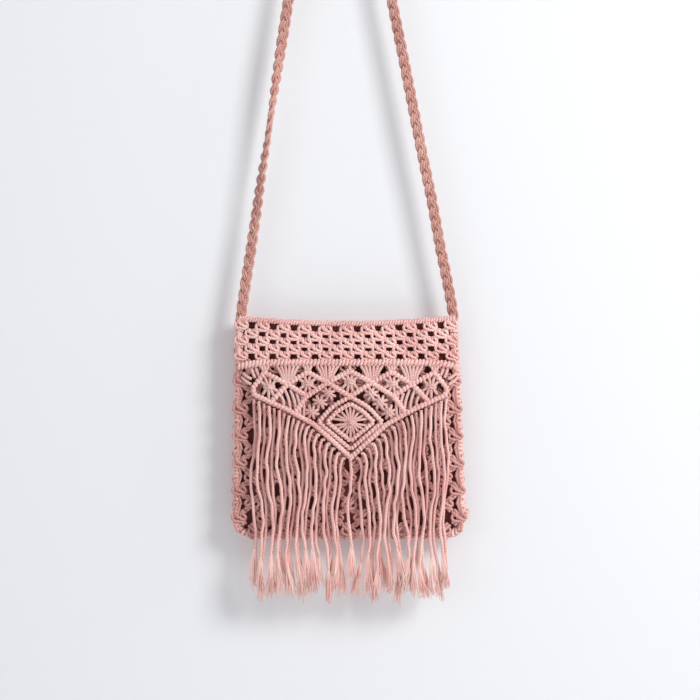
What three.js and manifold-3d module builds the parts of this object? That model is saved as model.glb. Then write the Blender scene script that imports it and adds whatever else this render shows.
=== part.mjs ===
// A macrame shoulder bag that hangs by its strap: a flat knotted pouch with a cloth lining, a V ornament
// and a long fringe on its front. Millimetres, +Z up, the front faces -Y.
// The origin is the underside of the strap at the point that the bag hangs from.
import * as THREE from "three";
import { mergeVertices } from "three/addons/utils/BufferGeometryUtils.js";
import Module from "manifold-3d";

const wasm = await Module();
wasm.setup();

// The pouch
const rimDrop = 524; // from the hanging point down to the middle of the rim at its corners
const pouchHeight = 220; // from the rim to the foot of the base seam
const rimWidth = 223;
const baseWidth = 235;
const rimDip = 5.5; // how far the rim sags in its middle
const axisAtRim = 10.8; // the pouch hangs a little to the right of the hanging point
const axisAtBase = 13.8;
const cornerRise = 20; // height of the cut-off lower corners
const cornerCut = 10;

// The layers, from the lining outwards
const liningEdge = 2; // half the lining's thickness at the side seams
const fullness = 6; // what the lining gains on that in the middle
const mouthTaper = 0.75; // the share of the fullness that is left at the mouth
const baseTaper = 0.1; // and at the base
const taperHeight = 60;
const liningWall = 0.9;
const clearance = 0.3;
const netThickness = 4.2;
const knotRise = 1.6; // a knot stands this far above the cords between knots
const ornamentGap = 0.7;
const legThickness = 2.8; // the ornament's loose cords
const flowerThickness = 4.4;
const ridgeThickness = 5.2; // and its double-half-hitch ridges

// The knotted panels: columns and rows count half periods of the alternating knots
const bandColumns = 20;
const bandRows = 6;
const bandGapAcross = 6.4;
const bandGapDown = 4.8;
const frontColumns = 18;
const frontRows = 12;
const backColumns = 14;
const backRows = 12;
const netGapAcross = 9;
const netGapDown = 13.5;

// Rims, ridge and seams
const rimRadius = 2.9;
const crossRidgeDrop = 46; // from the rim to the middle of the cross ridge
const crossRidgeHeight = 6.6;
const seamWidth = 6;
const seamKnotPitch = 12.8;
const seamKnotRise = 2;
const seamTopRise = 3.4;
const baseSeamHeight = 7;

// The V ornament, measured across from its middle and down from the cross ridge
const ornamentOffset = 2.4;
const ornamentHalfWidth = 97.5;
const ornamentCornerDrop = 25;
const ornamentTipDrop = 93.5;
const ridgeWidth = 5.6;
const legWidth = 3.4;
const flowerAcross = 10.5;
const flowerDown = 9;
const sunburstAcross = 20;
const sunburstDown = 16;

// The fringe
const strandCount = 39;
const strandDiameter = 3.4;
const strandLayerGap = 3.9; // neighbours hang in two layers, so they may cross
const strandTipDrop = 276; // from the rim down to the frayed ends, on average
const strandWave = 110; // the length of a strand's gentle waves
const strandSway = 2.6;
const strandDrift = 1.2;
const strandPairing = 1.7; // neighbours draw together this far towards their ends
const headCurl = 6; // near the tip a strand leaves the border sideways before it hangs
const headCurlStart = 70; // and from here outwards it doesn't
const strandSteps = 6;
const strandSides = 8;

// The strap
const strapDiameter = 10;
const strapSteps = 46;
const strapSides = 8;

const pinks = {
  knots: 0xe3b4ae,
  ridges: 0xe8bcb4,
  seams: 0xd9a49e,
  fringe: 0xe0ada5,
  strap: 0xc8968a,
  lining: 0x8a3f48,
};

const { clamp, lerp } = THREE.MathUtils;
const rimZ = -rimDrop;
const baseZ = rimZ - pouchHeight;
const ridgeZ = rimZ - crossRidgeDrop;
const netBaseZ = baseZ + baseSeamHeight + clearance;
const bandTopDrop = rimRadius + clearance;
const ridgeReach = crossRidgeHeight / 2 + clearance;
const netOutside = clearance + netThickness;
const ornamentInside = netOutside + knotRise + ornamentGap;
const bag = new THREE.Group();

// The pouch's own shape

function halfWidthAt(z) {
  const plain = lerp(rimWidth, baseWidth, (rimZ - z) / pouchHeight) / 2;
  const intoCorner = Math.max(0, baseZ + cornerRise - z) / cornerRise;
  return plain - cornerCut * intoCorner ** 2;
}

function axisAt(z) {
  return lerp(axisAtRim, axisAtBase, (rimZ - z) / pouchHeight);
}

// Half the lining's thickness, x being measured from the pouch's axis
function faceDepthAt(x, z) {
  const u = Math.min(1, Math.abs(x) / (halfWidthAt(z) - seamWidth));
  const fromMouth = clamp((rimZ - z) / taperHeight, 0, 1);
  const fromBase = clamp((z - baseZ) / taperHeight, 0, 1);
  const nearMouth = lerp(mouthTaper, 1, 1 - (1 - fromMouth) ** 2);
  const nearBase = lerp(baseTaper, 1, 1 - (1 - fromBase) ** 2);
  return liningEdge + fullness * (1 - u ** 4) * nearMouth * nearBase;
}

function rimTopAt(u) {
  return rimZ - rimDip * (1 - u ** 2);
}

// A point of the pouch: x from its axis, z, and how far it lies outside the lining.
// side is -1 on the front and 1 on the back.
function onPouch(x, z, outside, side) {
  return new THREE.Vector3(axisAt(z) + x, side * (faceDepthAt(x, z) + outside), z);
}

function addMesh(name, geometry, color) {
  const material = new THREE.MeshStandardMaterial({ color, roughness: 0.9, metalness: 0 });
  const mesh = new THREE.Mesh(geometry, material);
  mesh.name = name;
  bag.add(mesh);
}

function bareGeometry(geometry) {
  geometry.deleteAttribute("normal");
  geometry.deleteAttribute("uv");
  return mergeVertices(geometry, 1e-4);
}

function toSolid(geometry) {
  const bare = bareGeometry(geometry);
  const triVerts = new Uint32Array(bare.index.array);
  const vertProperties = bare.attributes.position.array;
  return new wasm.Manifold(new wasm.Mesh({ numProp: 3, vertProperties, triVerts }));
}

function toGeometry(solid) {
  const mesh = solid.getMesh();
  const geometry = new THREE.BufferGeometry();
  geometry.setAttribute("position", new THREE.BufferAttribute(mesh.vertProperties, 3));
  geometry.setIndex(new THREE.BufferAttribute(mesh.triVerts, 1));
  geometry.computeVertexNormals();
  return geometry;
}

function moveVertices(geometry, place) {
  const position = geometry.attributes.position;
  for (let i = 0; i < position.count; i++) {
    const moved = place(position.getX(i), position.getY(i), position.getZ(i));
    position.setXYZ(i, moved.x, moved.y, moved.z);
  }
  return geometry;
}

function anticlockwise(corners) {
  let area = 0;
  corners.forEach(([x, y], i) => {
    const [nextX, nextY] = corners[(i + 1) % corners.length];
    area += x * nextY - nextX * y;
  });
  return area < 0 ? [...corners].reverse() : corners;
}

// Alternating square knots as one wall: each knot is a low pyramid, each diamond between four knots is open,
// and the half diamonds along the edges are closed.
function netPatches(columns, rows, gapAcross, gapDown) {
  const patches = [];
  for (let i = 0; i < columns; i++) {
    for (let j = 0; j < rows; j++) {
      const strut = [];
      for (const [di, dj] of [[0, 0], [1, 0], [1, 1], [0, 1]]) {
        const x = i + di;
        const y = j + dj;
        const across = 1 - 2 * di;
        const down = 1 - 2 * dj;
        const isKnot = (x + y) % 2 === 1;
        const onEdge = x === 0 || x === columns || y === 0 || y === rows;
        const besideX = x + across * (isKnot ? 1 - gapAcross : gapAcross);
        const besideY = y + down * (isKnot ? 1 - gapDown : gapDown);
        if (isKnot) strut.push([besideX, y], [x, besideY]);
        if (isKnot || onEdge) {
          patches.push([[x, y, isKnot && !onEdge ? 1 : 0], [besideX, y, 0], [x, besideY, 0]]);
        }
      }
      const middle = [i + 0.5, j + 0.5];
      const turn = ([x, y]) => Math.atan2(y - middle[1], x - middle[0]);
      patches.push(strut.sort((a, b) => turn(a) - turn(b)).map(([x, y]) => [x, y, 0]));
    }
  }
  return patches.map(anticlockwise);
}

function knottedPanel({ columns, rows, gapAcross, gapDown, topEdge, bottomEdge, side }) {
  const meanWidth = rimWidth - 2 * seamWidth;
  const across = (gapAcross / 2) / (meanWidth / columns);
  const down = (gapDown / 2) / ((topEdge(0) - bottomEdge(0)) / rows);
  const patches = netPatches(columns, rows, across, down);
  const place = ([i, j, rise], outside) => {
    const u = (2 * i) / columns - 1;
    const z = lerp(topEdge(u), bottomEdge(u), j / rows);
    const x = u * (halfWidthAt(z) - seamWidth - clearance);
    return onPouch(x, z, outside + rise * (outside > clearance ? knotRise : 0), side);
  };
  const points = [];
  const addFan = (corners) => {
    for (let k = 1; k < corners.length - 1; k++) points.push(corners[0], corners[k], corners[k + 1]);
  };
  const edges = new Map();
  const nameOf = ([x, y]) => x.toFixed(4) + " " + y.toFixed(4);
  for (const patch of patches) {
    addFan(patch.map((corner) => place(corner, netOutside)));
    addFan([...patch].reverse().map((corner) => place(corner, clearance)));
    patch.forEach((from, k) => {
      const to = patch[(k + 1) % patch.length];
      edges.set(nameOf(from) + " > " + nameOf(to), [from, to]);
    });
  }
  for (const [from, to] of edges.values()) {
    if (edges.has(nameOf(to) + " > " + nameOf(from))) continue;
    addFan([
      place(to, netOutside),
      place(from, netOutside),
      place(from, clearance),
      place(to, clearance),
    ]);
  }
  // Rows run downwards, so the patches face out on the back and have to be turned over on the front
  if (side < 0) points.reverse();
  const geometry = new THREE.BufferGeometry().setFromPoints(points);
  return toGeometry(toSolid(geometry));
}

function tubeAlong(points, radius, steps, sides) {
  const section = new THREE.Shape();
  for (let k = 0; k < sides; k++) {
    const angle = (2 * Math.PI * (k + 0.5)) / sides;
    const x = radius * Math.cos(angle);
    const y = radius * Math.sin(angle);
    if (k) section.lineTo(x, y);
    else section.moveTo(x, y);
  }
  const extrudePath = new THREE.CatmullRomCurve3(points);
  return new THREE.ExtrudeGeometry(section, { steps, extrudePath, bevelEnabled: false });
}

// The walls, from the rim to the base

const panelTop = (u) => rimTopAt(u) - bandTopDrop;
const panels = {
  front_top_band: {
    columns: bandColumns,
    rows: bandRows,
    gapAcross: bandGapAcross,
    gapDown: bandGapDown,
    topEdge: panelTop,
    bottomEdge: () => ridgeZ + ridgeReach,
    side: -1,
  },
  front_net: {
    columns: frontColumns,
    rows: frontRows,
    gapAcross: netGapAcross,
    gapDown: netGapDown,
    topEdge: () => ridgeZ - ridgeReach,
    bottomEdge: () => netBaseZ,
    side: -1,
  },
  back_net: {
    columns: backColumns,
    rows: backRows,
    gapAcross: netGapAcross,
    gapDown: netGapDown,
    topEdge: panelTop,
    bottomEdge: () => netBaseZ,
    side: 1,
  },
};
for (const [name, panel] of Object.entries(panels)) addMesh(name, knottedPanel(panel), pinks.knots);

function rimTube(side) {
  const points = [];
  const stations = 9;
  for (let k = 0; k < stations; k++) {
    const u = (2 * k) / (stations - 1) - 1;
    const z = rimTopAt(u);
    const x = u * (halfWidthAt(z) - seamWidth - clearance);
    points.push(onPouch(x, z, clearance + rimRadius, side));
  }
  return tubeAlong(points, rimRadius, stations + 4, 8);
}
addMesh("front_rim", rimTube(-1), pinks.ridges);
addMesh("back_rim", rimTube(1), pinks.ridges);

// The lining: one cloth pouch, open at its mouth

function liningShell(inset, bottomZ, topZ, steps) {
  const stations = 10;
  const outline = new THREE.Shape();
  for (let k = 0; k <= stations; k++) {
    const u = (2 * k) / stations - 1;
    if (k) outline.lineTo(u, -1);
    else outline.moveTo(u, -1);
  }
  for (let k = stations; k >= 0; k--) outline.lineTo((2 * k) / stations - 1, 1);
  const loft = new THREE.ExtrudeGeometry(outline, { depth: topZ - bottomZ, steps, bevelEnabled: false });
  return moveVertices(loft, (u, facing, height) => {
    const z = bottomZ + height;
    const x = u * (halfWidthAt(z) - seamWidth - clearance - inset);
    return new THREE.Vector3(axisAt(z) + x, facing * (faceDepthAt(x, z) - inset), z);
  });
}

function liningPouch() {
  const bottomZ = netBaseZ + clearance;
  const mouthZ = rimZ - rimDip;
  const outer = toSolid(liningShell(0, bottomZ, mouthZ, 5));
  const inner = toSolid(liningShell(liningWall, bottomZ + liningWall, mouthZ + 2 * liningWall, 5));
  return toGeometry(outer.subtract(inner));
}
addMesh("lining_pouch", liningPouch(), pinks.lining);

// The seams: scalloped bars, one knot to each scallop

// Goes on from the shape's last point to the next in bumps that stand out to its right-hand side
function addScallops(shape, from, to, pitch, rise) {
  const way = new THREE.Vector2().subVectors(to, from);
  const count = Math.max(1, Math.round(way.length() / pitch));
  const outwards = new THREE.Vector2(way.y, -way.x).normalize();
  for (let k = 0; k < count; k++) {
    for (const [along, share] of [[0.25, 1], [0.75, 1], [1, 0]]) {
      const point = from.clone().addScaledVector(way, (k + along) / count);
      point.addScaledVector(outwards, share * rise);
      shape.lineTo(point.x, point.y);
    }
  }
}

function extrudeThrough(shape, halfDepth) {
  const geometry = new THREE.ExtrudeGeometry(shape, { depth: 2 * halfDepth, bevelEnabled: false });
  return moveVertices(geometry, (x, z, depth) => new THREE.Vector3(x, halfDepth - depth, z));
}

function sideSeam(side) {
  const topZ = rimZ + seamTopRise;
  const bottomZ = baseZ + cornerRise;
  const edgeAt = (z, inset) => new THREE.Vector2(side * (halfWidthAt(z) - inset), z);
  const shape = new THREE.Shape();
  const foot = edgeAt(bottomZ, seamKnotRise);
  const head = edgeAt(topZ, seamKnotRise);
  const insideFoot = edgeAt(bottomZ, seamWidth);
  const insideHead = edgeAt(topZ, seamWidth);
  shape.moveTo(insideFoot.x, insideFoot.y);
  if (side > 0) {
    shape.lineTo(foot.x, foot.y);
    addScallops(shape, foot, head, seamKnotPitch, seamKnotRise);
    shape.lineTo(insideHead.x, insideHead.y);
  } else {
    shape.lineTo(insideHead.x, insideHead.y);
    shape.lineTo(head.x, head.y);
    addScallops(shape, head, foot, seamKnotPitch, seamKnotRise);
  }
  const bar = extrudeThrough(shape, liningEdge + netOutside);
  return moveVertices(bar, (x, y, z) => new THREE.Vector3(axisAt(z) + x, y, z));
}
addMesh("left_side_seam", sideSeam(-1), pinks.seams);
addMesh("right_side_seam", sideSeam(1), pinks.seams);

// The base seam turns up along the cut-off corners as far as the side seams
function baseSeam() {
  const topZ = baseZ + cornerRise - clearance;
  const corner = (side, z, inset) => new THREE.Vector2(side * (halfWidthAt(z) - inset), z);
  const footZ = baseZ + seamKnotRise;
  const levels = [topZ, lerp(topZ, footZ, 0.5), footZ];
  const shape = new THREE.Shape();
  const start = corner(-1, topZ, seamWidth);
  shape.moveTo(start.x, start.y);
  levels.forEach((z) => {
    const point = corner(-1, z, seamKnotRise);
    shape.lineTo(point.x, point.y);
  });
  addScallops(
    shape,
    corner(-1, footZ, seamKnotRise),
    corner(1, footZ, seamKnotRise),
    seamKnotPitch,
    seamKnotRise,
  );
  [...levels].reverse().forEach((z, k) => {
    const point = corner(1, z, seamKnotRise);
    if (k) shape.lineTo(point.x, point.y);
  });
  const insideLevels = [topZ, lerp(topZ, netBaseZ, 0.5), netBaseZ - clearance];
  insideLevels.forEach((z) => {
    const point = corner(1, z, seamWidth);
    shape.lineTo(point.x, point.y);
  });
  [...insideLevels].reverse().forEach((z, k) => {
    const point = corner(-1, z, seamWidth);
    if (k < 2) shape.lineTo(point.x, point.y);
  });
  const bar = extrudeThrough(shape, liningEdge + fullness * baseTaper + netOutside);
  return moveVertices(bar, (x, y, z) => new THREE.Vector3(axisAt(z) + x, y, z));
}
addMesh("base_seam", baseSeam(), pinks.seams);

// A flat shape in (x from the pouch's axis, z), thickened outwards
function thicken(shape, thickness) {
  return new THREE.ExtrudeGeometry(shape, { depth: thickness, bevelEnabled: false });
}

function joinAll(geometries) {
  return geometries.map(toSolid).reduce((whole, next) => whole.add(next));
}

function crossRidge() {
  const half = halfWidthAt(ridgeZ) - seamWidth - clearance;
  const depth = ornamentInside + ridgeThickness - clearance;
  const section = new THREE.Shape();
  section.moveTo(-crossRidgeHeight / 2, 0);
  section.lineTo(crossRidgeHeight / 2, 0);
  section.lineTo(crossRidgeHeight / 2, depth * 0.7);
  section.lineTo(crossRidgeHeight / 4, depth);
  section.lineTo(-crossRidgeHeight / 4, depth);
  section.lineTo(-crossRidgeHeight / 2, depth * 0.7);
  const bar = new THREE.ExtrudeGeometry(section, { depth: 2 * half, steps: 14, bevelEnabled: false });
  return moveVertices(bar, (up, out, along) => {
    return onPouch(along - half, ridgeZ + up, clearance + out, -1);
  });
}
addMesh("cross_ridge", crossRidge(), pinks.ridges);

// The V ornament: ridges, loose cords and flowers, joined flat and then laid on the front

const down = (across, drop) => new THREE.Vector2(ornamentOffset + across, ridgeZ - drop);
const headDrop = crossRidgeHeight / 2 + clearance;
const ornamentPoints = {
  corner: [ornamentHalfWidth, ornamentCornerDrop],
  border: [[95, 31], [79, 38.3], [61.6, 46], [35.9, 60.5], [14.9, 79.4]],
  tip: [0, ornamentTipDrop],
  outerTop: [85, 8.5],
  outerValley: [62, 20],
  outerFoot: [78, 37],
  innerTop: [42, 8],
  innerValley: [22, 18.5],
  innerFoot: [43, 32],
  middleTop: [0, 8],
  diamondTop: [0, 33.2],
  longFoot: [55, 48],
  diamondSide: [31.5, 58],
  diamondFoot: [0, 85],
  innerDiamondTop: [0, 39.7],
  innerDiamondSide: [23.3, 58],
  innerDiamondFoot: [0, 76.8],
  bandStart: [21.4, 29.3],
  bandEnd: [38.6, 47.8],
  outerFlower: [83.5, 23.5],
  innerFlower: [42, 20],
  middleFlower: [0, 17.5],
  loose: [[67, 28], [62, 43], [61, 25], [56, 44], [54, 27], [51, 44]],
};

// A bar that runs a little past both ends, so that it joins the next
function barShape(from, to, width) {
  const way = new THREE.Vector2().subVectors(to, from).normalize();
  const out = new THREE.Vector2(-way.y, way.x).multiplyScalar(width / 2);
  const past = way.multiplyScalar(width * 0.35);
  const shape = new THREE.Shape();
  shape.moveTo(from.x - out.x - past.x, from.y - out.y - past.y);
  shape.lineTo(to.x - out.x + past.x, to.y - out.y + past.y);
  shape.lineTo(to.x + out.x + past.x, to.y + out.y + past.y);
  shape.lineTo(from.x + out.x - past.x, from.y + out.y - past.y);
  return shape;
}

function ridgeLine(places, width, thickness) {
  return places.slice(1).map((to, k) => {
    return thicken(barShape(down(...places[k]), down(...to), width), thickness);
  });
}

// A knot whose cords fan out: a star with as many points as it has cords
function star(place, across, drop, points) {
  const middle = down(...place);
  const shape = new THREE.Shape();
  for (let k = 0; k < 2 * points; k++) {
    const angle = (Math.PI * k) / points;
    const share = k % 2 ? 0.55 : 1;
    const x = middle.x + across * share * Math.cos(angle);
    const z = middle.y + drop * share * Math.sin(angle);
    if (k) shape.lineTo(x, z);
    else shape.moveTo(x, z);
  }
  return thicken(shape, flowerThickness);
}

const mirrored = ([across, drop]) => [-across, drop];

function oneHalf(turn) {
  const { border, loose, ...single } = ornamentPoints;
  const p = Object.fromEntries(Object.entries(single).map(([name, place]) => [name, turn(place)]));
  const ridges = [
    [p.corner, ...border.map(turn), p.tip],
    [p.corner, p.outerTop, p.outerValley, p.outerFoot],
    [p.outerValley, p.innerTop, p.innerValley],
    [p.outerValley, p.innerFoot],
    [p.middleTop, p.innerValley, p.innerFoot, p.longFoot],
    [p.innerValley, p.diamondTop],
    [p.diamondTop, p.diamondSide, p.diamondFoot],
    [p.innerDiamondTop, p.innerDiamondSide, p.innerDiamondFoot],
  ];
  const halfway = ([a, b], [c, d], share) => [lerp(a, c, share), lerp(b, d, share)];
  const legs = [];
  // The zone of cords left unknotted between the small diamonds and the border
  for (let k = 0; k < loose.length; k += 2) legs.push([turn(loose[k]), turn(loose[k + 1])]);
  // The triangles under the cross ridge
  const hangers = [[p.outerValley, 3], [p.innerValley, 3], [p.outerTop, 1], [p.innerTop, 1], [p.corner, 1]];
  for (const [place, count] of hangers) {
    for (let k = 0; k < count; k++) {
      const spread = (k - (count - 1) / 2) * 5;
      legs.push([[place[0] + 2 * spread, headDrop + legWidth * 0.75], [place[0] + spread, place[1] - 1]]);
    }
  }
  const flowers = [0, 0.5, 1].map((share) => halfway(p.bandStart, p.bandEnd, share));
  flowers.push(p.outerFlower, p.innerFlower);
  return [
    ...ridges.flatMap((places) => ridgeLine(places, ridgeWidth, ridgeThickness)),
    ...legs.flatMap((places) => ridgeLine(places, legWidth, legThickness)),
    ...flowers.map((place) => star(place, flowerAcross, flowerDown, 8)),
  ];
}

function ornament() {
  const sunburst = star([0, ornamentPoints.diamondSide[1]], sunburstAcross, sunburstDown, 16);
  const middleFlower = star(ornamentPoints.middleFlower, flowerAcross, flowerDown, 8);
  const flat = joinAll([...oneHalf((place) => place), ...oneHalf(mirrored), middleFlower, sunburst]);
  return moveVertices(toGeometry(flat), (x, z, out) => onPouch(x, z, ornamentInside + out, -1));
}
addMesh("v_ornament", ornament(), pinks.ridges);

// The fringe: each strand leaves the V border's underside and hangs in gentle waves

const borderLine = [...ornamentPoints.border, ornamentPoints.tip];

// Where the head of a strand meets the border's lower face. A head that leaves sideways lies along it.
function headDropAt(across, curled) {
  const radius = strandDiameter / 2;
  const x = clamp(Math.abs(across) - radius * (1 - curled), 0, borderLine[0][0]);
  const k = borderLine.findIndex(([reach], i) => i > 0 && reach <= x);
  const [outerX, outerDrop] = borderLine[k - 1];
  const [innerX, innerDrop] = borderLine[k];
  const slope = (innerDrop - outerDrop) / (outerX - innerX);
  const faceDrop = outerDrop + slope * (outerX - x) + (ridgeWidth / 2) * Math.hypot(1, slope);
  return faceDrop + radius * curled + clearance;
}

function strandRoute(index) {
  const across = ornamentHalfWidth * ((2 * index) / (strandCount - 1) - 1) * 0.985;
  const nearTip = clamp((headCurlStart - Math.abs(across)) / (headCurlStart / 2), 0, 1);
  const curled = Math.abs(Math.sign(across)) * nearTip;
  const curl = Math.sign(across) * headCurl * curled;
  const head = down(across, headDropAt(across, curled));
  const tipZ = rimZ - strandTipDrop + 6 * Math.sin(2.4 * index) + 4 * Math.cos(index);
  const layer = ornamentInside + strandDiameter / 2 + 0.2 + (index % 2 ? strandLayerGap : 0);
  const hangZ = ridgeZ - taperHeight / 2;
  const y = -(faceDepthAt(head.x, hangZ) + layer);
  const layerSide = index % 2 ? 1 : -1;
  const phase = 0.45 * index + 0.5 * Math.sin(1.3 * index);
  const stations = 18;
  const x = axisAt(head.y) + head.x;
  const shoulderZ = head.y + lerp(-strandDiameter, 0.2, curled);
  const points = [new THREE.Vector3(x, y, head.y), new THREE.Vector3(x + 0.5 * curl, y, shoulderZ)];
  for (let k = 1; k < stations; k++) {
    const share = k / (stations - 1);
    const z = lerp(head.y, tipZ, share);
    const wave = Math.sin((2 * Math.PI * (head.y - z)) / strandWave + phase) * Math.min(1, 4 * share);
    const drift = strandDrift * Math.sin(0.9 * index) * share + layerSide * strandPairing * share ** 1.5;
    points.push(new THREE.Vector3(x + curl + strandSway * wave + drift, y, z));
  }
  return points;
}

for (let index = 0; index < strandCount; index++) {
  const name = "fringe_strand_" + String(index + 1).padStart(2, "0");
  addMesh(name, tubeAlong(strandRoute(index), strandDiameter / 2, strandSteps, strandSides), pinks.fringe);
}

// The strap: one free plait from seam to seam, over the point that it hangs on

const strapRoute = [
  [-95.1, -519.9],
  [-91.3, -494],
  [-85.7, -458],
  [-80.1, -420],
  [-74.7, -382],
  [-69, -347],
  [-64.2, -313],
  [-56.2, -259.6],
  [-47.8, -206],
  [-38.5, -141.4],
  [-29.1, -76.7],
  [-19.8, -12.1],
  [-14.1, -0.9],
  [0, 5],
  [14.1, -0.9],
  [19.6, -11.3],
  [32, -76],
  [44.3, -141],
  [56.7, -206],
  [67.9, -261.8],
  [77.9, -313],
  [86.8, -357.8],
  [96.9, -407],
  [105.8, -456],
  [112.2, -487],
  [118.1, -519.9],
];
const strapPoints = strapRoute.map(([x, z]) => new THREE.Vector3(x, 0, z));
addMesh("strap", tubeAlong(strapPoints, strapDiameter / 2, strapSteps, strapSides), pinks.strap);

export default bag;
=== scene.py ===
import math
import random

import bmesh
import bpy
import numpy as np
from mathutils import Matrix, Vector


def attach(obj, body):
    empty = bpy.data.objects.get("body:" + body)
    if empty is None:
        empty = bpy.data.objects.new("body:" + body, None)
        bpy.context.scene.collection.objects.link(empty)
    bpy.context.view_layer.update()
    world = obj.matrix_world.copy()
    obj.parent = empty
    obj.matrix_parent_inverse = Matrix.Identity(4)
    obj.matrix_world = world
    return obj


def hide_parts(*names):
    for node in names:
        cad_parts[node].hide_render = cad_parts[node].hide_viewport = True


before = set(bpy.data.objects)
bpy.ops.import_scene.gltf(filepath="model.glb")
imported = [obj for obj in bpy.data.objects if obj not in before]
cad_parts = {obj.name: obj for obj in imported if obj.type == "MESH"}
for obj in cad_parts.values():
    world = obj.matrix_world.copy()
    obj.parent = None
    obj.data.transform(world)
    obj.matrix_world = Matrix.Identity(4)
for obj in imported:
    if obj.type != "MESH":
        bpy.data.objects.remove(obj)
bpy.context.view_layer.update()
random.seed(11)
mm = 0.001

# The pouch's form, as the solids have it
pouch = {
    "rimZ": -524.0,
    "baseZ": -744.0,
    "rimWidth": 223.0,
    "baseWidth": 235.0,
    "rimDip": 5.5,
    "axisAtRim": 10.8,
    "axisAtBase": 13.8,
    "cornerRise": 20.0,
    "cornerCut": 10.0,
    "edge": 2.0,
    "fullness": 6.0,
    "mouthTaper": 0.75,
    "baseTaper": 0.1,
    "taperHeight": 60.0,
    "seamWidth": 6.0,
    "ridgeDrop": 46.0,
    "netMiddle": 3.3,
    "ornamentMiddle": 9.5,
    "ornamentOffset": 2.4,
}
ridgeZ = pouch["rimZ"] - pouch["ridgeDrop"]
cornerZ = pouch["baseZ"] + pouch["cornerRise"]


def mix(a, b, share):
    return a + (b - a) * share


def halfWidthAt(z):
    down = (pouch["rimZ"] - z) / (pouch["rimZ"] - pouch["baseZ"])
    intoCorner = np.maximum(0, cornerZ - z) / pouch["cornerRise"]
    return mix(pouch["rimWidth"], pouch["baseWidth"], down) / 2 - pouch["cornerCut"] * intoCorner**2


def axisAt(z):
    down = (pouch["rimZ"] - z) / (pouch["rimZ"] - pouch["baseZ"])
    return mix(pouch["axisAtRim"], pouch["axisAtBase"], down)


def faceDepthAt(x, z):
    u = np.minimum(1, np.abs(x) / (halfWidthAt(z) - pouch["seamWidth"]))
    fromMouth = np.clip((pouch["rimZ"] - z) / pouch["taperHeight"], 0, 1)
    fromBase = np.clip((z - pouch["baseZ"]) / pouch["taperHeight"], 0, 1)
    nearMouth = mix(pouch["mouthTaper"], 1, 1 - (1 - fromMouth) ** 2)
    nearBase = mix(pouch["baseTaper"], 1, 1 - (1 - fromBase) ** 2)
    return pouch["edge"] + pouch["fullness"] * (1 - u**4) * nearMouth * nearBase


# Cord work: tubes and copies of them, kept as arrays until they become one mesh

def throughPoints(points, step):
    # A smooth line through the points, sampled about every step
    points = np.array(points, float)
    padded = np.vstack([2 * points[0] - points[1], points, 2 * points[-1] - points[-2]])
    line = []
    for k in range(1, len(padded) - 2):
        a, b, c, d = padded[k - 1:k + 3]
        count = max(1, int(round(np.linalg.norm(c - b) / step)))
        t = (np.arange(count) / count)[:, None]
        line.append(0.5 * (2 * b + (c - a) * t + (2 * a - 5 * b + 4 * c - d) * t**2
                           + (3 * b - a - 3 * c + d) * t**3))
    line.append(points[-1:])
    return np.vstack(line)


def distances(line):
    # How far along the line each of its points is
    return np.concatenate([[0], np.cumsum(np.linalg.norm(np.diff(line, axis=0), axis=1))])


def pointAt(line, along, place):
    # The flat point of the line at a distance along it
    return np.array([np.interp(place, along, line[:, k]) for k in (0, 1)])


def evenly(line, step):
    # The same line with points at even distances, as a twisted cord needs them
    along = distances(line)
    places = np.linspace(0, along[-1], int(round(along[-1] / step)) + 1)
    return np.stack([np.interp(places, along, line[:, k]) for k in range(3)], 1)


def unit(vectors):
    return vectors / np.maximum(np.linalg.norm(vectors, axis=-1, keepdims=True), 1e-9)


def carryFrames(tangents):
    # Two directions across the line at each point, carried along without twisting
    first = np.cross(tangents[0], [0.0, 0.0, 1.0])
    if np.linalg.norm(first) < 0.1:
        first = np.cross(tangents[0], [0.0, 1.0, 0.0])
    across = [unit(first)]
    for tangent in tangents[1:]:
        last = across[-1]
        across.append(unit(last - tangent * np.dot(last, tangent)))
    across = np.array(across)
    return across, np.cross(tangents, across)


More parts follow.
